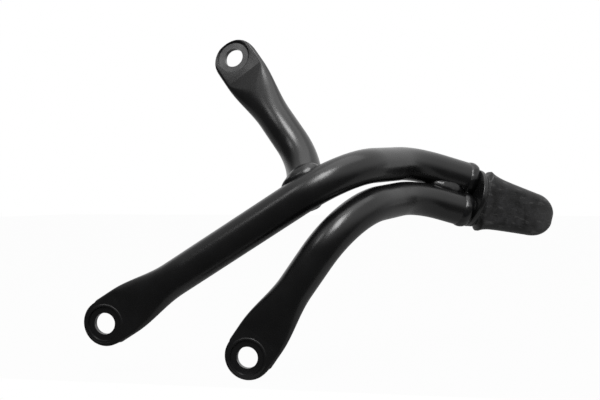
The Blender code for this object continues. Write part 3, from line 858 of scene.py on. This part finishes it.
# %% Gloss black enamel
enamel, tree = blank_material("gloss_black_enamel")
place = add_node(tree, "ShaderNodeTexCoord").outputs["Object"]
peel = add_node(tree, "ShaderNodeTexNoise", inputs={
    "Vector": place, "Scale": per_millimetre(2.2), "Detail": 1.0})
marks = add_node(tree, "ShaderNodeTexNoise", inputs={
    "Vector": place, "Scale": per_millimetre(14.0), "Detail": 5.0, "Roughness": 0.62})
gloss = add_node(tree, "ShaderNodeMapRange", inputs={
    "Value": marks.outputs["Fac"], "From Min": 0.35, "From Max": 0.7,
    "To Min": 0.23, "To Max": 0.32})
tone = add_node(tree, "ShaderNodeMix", {"data_type": "RGBA"}, {
    "Factor": marks.outputs["Fac"], "A": linear("#090909"), "B": linear("#131314")})
waves = add_node(tree, "ShaderNodeBump", inputs={
    "Height": peel.outputs["Fac"], "Strength": 0.05, "Distance": 0.0004})
shader = add_node(tree, "ShaderNodeBsdfPrincipled", inputs={
    "Base Color": tone.outputs["Result"], "Roughness": gloss.outputs["Result"],
    "Normal": waves.outputs["Normal"], "IOR": 1.5})
add_node(tree, "ShaderNodeOutputMaterial", inputs={"Surface": shader.outputs["BSDF"]})
print(enamel.name, len(tree.nodes), "nodes")

# %% [markdown]
# The same enamel lies over the welds, where it has filled the ripples of the bead but not hidden
# them. Ripples of about 2.4 mm lie on lumps of about 5 mm, so the weld's version has a stronger
# bump that adds the two.

# %% Enamel over weld
weld_enamel, tree = blank_material("black_enamel_over_weld")
place = add_node(tree, "ShaderNodeTexCoord").outputs["Object"]
ripple = add_node(tree, "ShaderNodeTexNoise", inputs={
    "Vector": place, "Scale": per_millimetre(2.4), "Detail": 1.0})
lumps = add_node(tree, "ShaderNodeTexNoise", inputs={
    "Vector": place, "Scale": per_millimetre(5.0), "Detail": 2.0})
height = add_node(tree, "ShaderNodeMath", {"operation": "ADD"}, {
    0: ripple.outputs["Fac"], 1: lumps.outputs["Fac"]})
bumps = add_node(tree, "ShaderNodeBump", inputs={
    "Height": height.outputs["Value"], "Strength": 0.14, "Distance": 0.0005})
shader = add_node(tree, "ShaderNodeBsdfPrincipled", inputs={
    "Base Color": linear("#0b0b0c"), "Roughness": 0.30, "Normal": bumps.outputs["Normal"],
    "IOR": 1.5})
add_node(tree, "ShaderNodeOutputMaterial", inputs={"Surface": shader.outputs["BSDF"]})
print(weld_enamel.name, len(tree.nodes), "nodes")

# %% [markdown]
# The sleeve is natural rubber filled with carbon black, moulded in a tool with a fine spark
# finish. It is a matt dark grey with a soft sheen where it curves away. Dust and handling have
# mottled it in patches of a few millimetres, and boots have left pale specks and short rubs that
# run along it, so one noise is stretched along the footrest. Over the last two centimetres the
# colour also grows paler towards the tip. The tool's grain is drawn at just under a millimetre,
# as coarse as it needs to be to show at all.

# %% Moulded rubber
TIP_PALE_START = 0.042
TIP_PALE_REACH = 0.020
RUB_STRETCH = 3.0

rubber, tree = blank_material("moulded_black_rubber")
place = add_node(tree, "ShaderNodeTexCoord").outputs["Object"]
mottle = add_node(tree, "ShaderNodeTexNoise", inputs={
    "Vector": place, "Scale": per_millimetre(7.0), "Detail": 5.0, "Roughness": 0.65})
spread = add_node(tree, "ShaderNodeMapRange", inputs={
    "Value": mottle.outputs["Fac"], "From Min": 0.34, "From Max": 0.66})
tone = add_node(tree, "ShaderNodeMix", {"data_type": "RGBA"}, {
    "Factor": spread.outputs["Result"], "A": linear("#101010"), "B": linear("#282829")})

along_peg = add_node(tree, "ShaderNodeMapping", {"vector_type": "TEXTURE"}, {
    "Vector": place, "Rotation": (0.0, PEG_DIP, PEG_YAW), "Scale": (RUB_STRETCH, 1.0, 1.0)})
rubs = add_node(tree, "ShaderNodeTexNoise", inputs={
    "Vector": along_peg.outputs["Vector"], "Scale": per_millimetre(2.2), "Detail": 2.0})
rub_wear = add_node(tree, "ShaderNodeMapRange", inputs={
    "Value": rubs.outputs["Fac"], "From Min": 0.58, "From Max": 0.74, "To Max": 0.7})
# Over the last two centimetres the colour grows paler towards the tip, added to the pale rubs.
reach = add_node(tree, "ShaderNodeVectorMath", {"operation": "DOT_PRODUCT"}, {
    0: place, 1: PEG_AXIS})
tip_start = JUNCTION.dot(PEG_AXIS) + TIP_PALE_START
paler_tip = add_node(tree, "ShaderNodeMapRange", inputs={
    "Value": reach.outputs["Value"], "From Min": tip_start, "From Max": tip_start + TIP_PALE_REACH,
    "To Max": 0.36})
pale_share = add_node(tree, "ShaderNodeMath", {"operation": "ADD"}, {
    0: rub_wear.outputs["Result"], 1: paler_tip.outputs["Result"]})
paled_colour = add_node(tree, "ShaderNodeMix", {"data_type": "RGBA"}, {
    "Factor": pale_share.outputs["Value"], "A": tone.outputs["Result"], "B": linear("#494949")})

matt = add_node(tree, "ShaderNodeMapRange", inputs={
    "Value": mottle.outputs["Fac"], "From Min": 0.35, "From Max": 0.65,
    "To Min": 0.34, "To Max": 0.52})
grain = add_node(tree, "ShaderNodeTexNoise", inputs={
    "Vector": place, "Scale": per_millimetre(0.9), "Detail": 3.0})
bumps = add_node(tree, "ShaderNodeBump", inputs={
    "Height": grain.outputs["Fac"], "Strength": 0.3, "Distance": 0.0003})
shader = add_node(tree, "ShaderNodeBsdfPrincipled", inputs={
    "Base Color": paled_colour.outputs["Result"], "Roughness": matt.outputs["Result"],
    "Normal": bumps.outputs["Normal"], "IOR": 1.42})
add_node(tree, "ShaderNodeOutputMaterial", inputs={"Surface": shader.outputs["BSDF"]})
print(rubber.name, len(tree.nodes), "nodes")

# %% [markdown]
# The blade inside the rubber is plain hot-rolled steel with its grey mill scale. It can't be seen,
# but it is there in the solid model, so it gets the finish that it would have on a bench, in
# patches of about 4 mm.

# %% Mill scale steel
mill_steel, tree = blank_material("mill_scale_steel")
place = add_node(tree, "ShaderNodeTexCoord").outputs["Object"]
patches = add_node(tree, "ShaderNodeTexNoise", inputs={
    "Vector": place, "Scale": per_millimetre(4.0), "Detail": 6.0})
tone = add_node(tree, "ShaderNodeMix", {"data_type": "RGBA"}, {
    "Factor": patches.outputs["Fac"], "A": linear("#3a3b3e"), "B": linear("#5c5d60")})
shader = add_node(tree, "ShaderNodeBsdfPrincipled", inputs={
    "Base Color": tone.outputs["Result"], "Roughness": 0.55, "Metallic": 0.9})
add_node(tree, "ShaderNodeOutputMaterial", inputs={"Surface": shader.outputs["BSDF"]})
print(mill_steel.name, len(tree.nodes), "nodes")

# %% [markdown]
# Each piece now gets its finish. The blade and its weld have no finer piece of their own, so there
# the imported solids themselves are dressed.

# %% Give each piece its finish
def dress(item, material):
    item.data.materials.clear()
    item.data.materials.append(material)


for item in (main_tube, lower_tube, upper_tube, end_plate):
    dress(item, enamel)
for item in (end_weld, branch_weld, crotch_lump):
    dress(item, weld_enamel)
dress(sleeve, rubber)
dress(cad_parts["blade_weld"], weld_enamel)
dress(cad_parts["peg_blade"], mill_steel)
print("materials", [material.name for material in bpy.data.materials])

# %% [markdown]
# The photo was taken on white. Black enamel shows the room that it stands in: soft bright patches
# high on each tube, pale rims where it mirrors the white behind it, and dark lower halves, because
# nothing white stood in front or below. So the world is bright overhead, a little to the right,
# and dim all round. The white background is only there to be seen: the camera sees it everywhere,
# and gloss mirrors it only behind the object.

# %% White surroundings
BRIGHTEST_TOWARDS = (0.34, 0.0, 0.94)
DIM_LEVEL = 0.09


def shows_white(tree, mirrored_share):
    """1 where the camera looks, also through glass, and a share of it for what gloss mirrors."""
    rays = add_node(tree, "ShaderNodeLightPath")
    looked_at = add_node(tree, "ShaderNodeMath", {"operation": "MAXIMUM"}, {
        0: rays.outputs["Is Camera Ray"], 1: rays.outputs["Is Transmission Ray"]})
    mirrored = add_node(tree, "ShaderNodeMath", {"operation": "MULTIPLY"}, {
        0: rays.outputs["Is Glossy Ray"], 1: mirrored_share})
    either = add_node(tree, "ShaderNodeMath", {"operation": "MAXIMUM"}, {
        0: looked_at.outputs["Value"], 1: mirrored.outputs["Value"]})
    return either.outputs["Value"]


world = bpy.data.worlds.new("white_surroundings")
bpy.context.scene.world = world
world.use_nodes = True
tree = world.node_tree
tree.nodes.clear()
direction = add_node(tree, "ShaderNodeTexCoord").outputs["Generated"]
height = add_node(tree, "ShaderNodeVectorMath", {"operation": "DOT_PRODUCT"}, {
    0: direction, 1: BRIGHTEST_TOWARDS})
overhead = add_node(tree, "ShaderNodeMapRange", {"interpolation_type": "SMOOTHSTEP"}, {
    "Value": height.outputs["Value"], "From Min": 0.12, "From Max": 0.70, "To Min": DIM_LEVEL})
axes = add_node(tree, "ShaderNodeSeparateXYZ", inputs={"Vector": direction})
behind = add_node(tree, "ShaderNodeMapRange", {"interpolation_type": "SMOOTHSTEP"}, {
    "Value": axes.outputs["Y"], "From Min": 0.1, "From Max": 0.75})
level = add_node(tree, "ShaderNodeMath", {"operation": "MAXIMUM"}, {
    0: shows_white(tree, behind.outputs["Result"]), 1: overhead.outputs["Result"]})
backdrop = add_node(tree, "ShaderNodeBackground", inputs={
    "Color": WHITE, "Strength": level.outputs["Value"]})
add_node(tree, "ShaderNodeOutputWorld", inputs={"Surface": backdrop.outputs["Background"]})
print(world.name, len(tree.nodes), "nodes")

# %% [markdown]
# The floor is a sheet of paper that starts just in front of the lower eye. What is seen of it is
# nearly all the white of the background, and a small rest is the paper itself, which keeps the
# object's shadow. Gloss mirrors the grey paper close by and the same white further back.

# %% Paper floor
FLOOR_FRONT = -0.02
FLOOR_SIZE = 6.0
FLOOR_GAP = 0.001
FLOOR_WHITE_SHARE = 0.97
MIDDLE = (0.15, 0.03, 0.08)

deselect()
floor_centre = (MIDDLE[0], FLOOR_SIZE / 2 + FLOOR_FRONT, solid_box[0][2] - FLOOR_GAP)
bpy.ops.mesh.primitive_plane_add(size=FLOOR_SIZE, location=floor_centre)
floor = bpy.context.object
floor.name = "studio_floor"
floor_white, tree = blank_material("floor_white")
place = add_node(tree, "ShaderNodeTexCoord").outputs["Object"]
axes = add_node(tree, "ShaderNodeSeparateXYZ", inputs={"Vector": place})
far_back = add_node(tree, "ShaderNodeMapRange", {"interpolation_type": "SMOOTHSTEP"}, {
    "Value": axes.outputs["Y"], "From Min": -2.7, "From Max": -1.8})
white_share = add_node(tree, "ShaderNodeMath", {"operation": "MULTIPLY"}, {
    0: shows_white(tree, far_back.outputs["Result"]), 1: FLOOR_WHITE_SHARE})
paper = add_node(tree, "ShaderNodeBsdfDiffuse", inputs={"Color": linear("#949494")})
glow = add_node(tree, "ShaderNodeEmission", inputs={"Color": WHITE, "Strength": 1.0})
mixed = add_node(tree, "ShaderNodeMixShader", inputs={
    0: white_share.outputs["Value"], 1: paper.outputs["BSDF"], 2: glow.outputs["Emission"]})
add_node(tree, "ShaderNodeOutputMaterial", inputs={"Surface": mixed.outputs["Shader"]})
dress(floor, floor_white)
floor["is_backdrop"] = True
print(floor.name, "is", FLOOR_SIZE, "m wide")

# %% [markdown]
# Three lamps stand for what lit the photo. The key is a softbox above the camera, which leaves the
# long highlights on the bends. A small card at the upper left is what the upper eye mirrors. A
# large weak card hangs overhead.

# %% Lamps
UPPER_EYE = (0.07, 0.05, 0.17)


def soft_lamp(name, place, target, width, height, watts):
    """A rectangular area lamp aimed at a point."""
    data = bpy.data.lights.new(name, "AREA")
    data.shape = "RECTANGLE"
    data.size = width
    data.size_y = height
    data.energy = watts
    lamp = bpy.data.objects.new(name, data)
    bpy.context.scene.collection.objects.link(lamp)
    lamp.location = place
    aim = Vector(target) - Vector(place)
    lamp.rotation_euler = aim.to_track_quat("-Z", "Y").to_euler()


soft_lamp("key_softbox", (0.23, -0.63, 0.80), MIDDLE, width=0.34, height=0.46, watts=6.2)
soft_lamp("left_card", (-0.412, -0.630, 0.726), UPPER_EYE, width=0.24, height=0.24, watts=0.70)
soft_lamp("overhead_card", (0.30, -0.05, 1.25), MIDDLE, width=1.0, height=1.0, watts=3.8)
bpy.context.scene.view_settings.view_transform = "Standard"
print("lamps", [lamp.name for lamp in bpy.data.lights])

# %% [markdown]
# Last, the size of the dressed bracket is printed beside the size of the solids.

# %% Size of the solids and of the dressed bracket
dressed_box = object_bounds()
for name, box in (("solids", solid_box), ("dressed", dressed_box)):
    print(name, box_mm(box))
